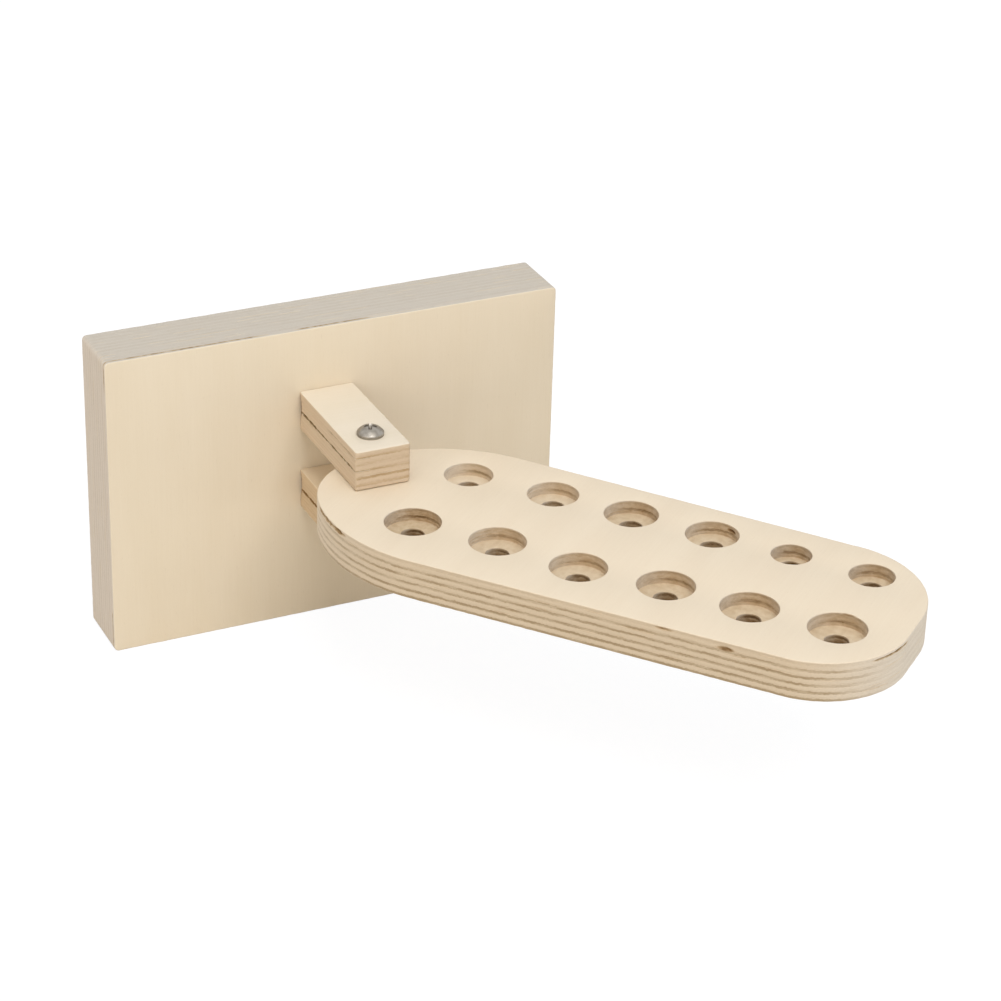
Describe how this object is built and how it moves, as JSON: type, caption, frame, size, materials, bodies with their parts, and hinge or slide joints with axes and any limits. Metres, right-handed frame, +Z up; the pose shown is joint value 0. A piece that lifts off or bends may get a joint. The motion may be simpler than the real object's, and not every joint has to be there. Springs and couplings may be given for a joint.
{
  "type": "screwdriver rack",
  "caption": "Wall-mounted screwdriver rack: a round-ended plywood board of stepped tool holes that swivels on a screw between short arms on a thick back plate.",
  "frame": {"origin": "centre of the back plate's back face, which lies against the wall", "axes": "+X to the right seen from the front, +Y into the wall, +Z up; the board swivels about a vertical axis in front of the plate"},
  "size_m": [0.2692, 0.2932, 0.14],
  "materials": {
    "birch_plywood": "sanded, unfinished birch plywood with its plies showing on every sawn edge",
    "zinc_plated_steel": "bright zinc plating",
    "yellow_zinc_steel": "yellow passivated zinc plating",
    "nylon": "blue nylon, moulded"
  },
  "bodies": {
    "bracket": {"back_plate": "birch_plywood", "upper_arm": "birch_plywood", "lower_arm": "birch_plywood", "pivot_screw": "zinc_plated_steel", "thrust_washer": "zinc_plated_steel", "nut_washer": "zinc_plated_steel", "lock_nut": "zinc_plated_steel", "nut_ring": "nylon", "upper_arm_screws": "yellow_zinc_steel", "lower_arm_screws": "yellow_zinc_steel"},
    "board": {"board": "birch_plywood"}
  },
  "joints": [
    {"name": "board_swivel", "type": "hinge", "parent": "bracket", "child": "board", "pos_m": [-0.005, -0.079, 0.01385], "axis": [0, 0, 1], "range_deg": [-115, 54.5]}
  ]
}
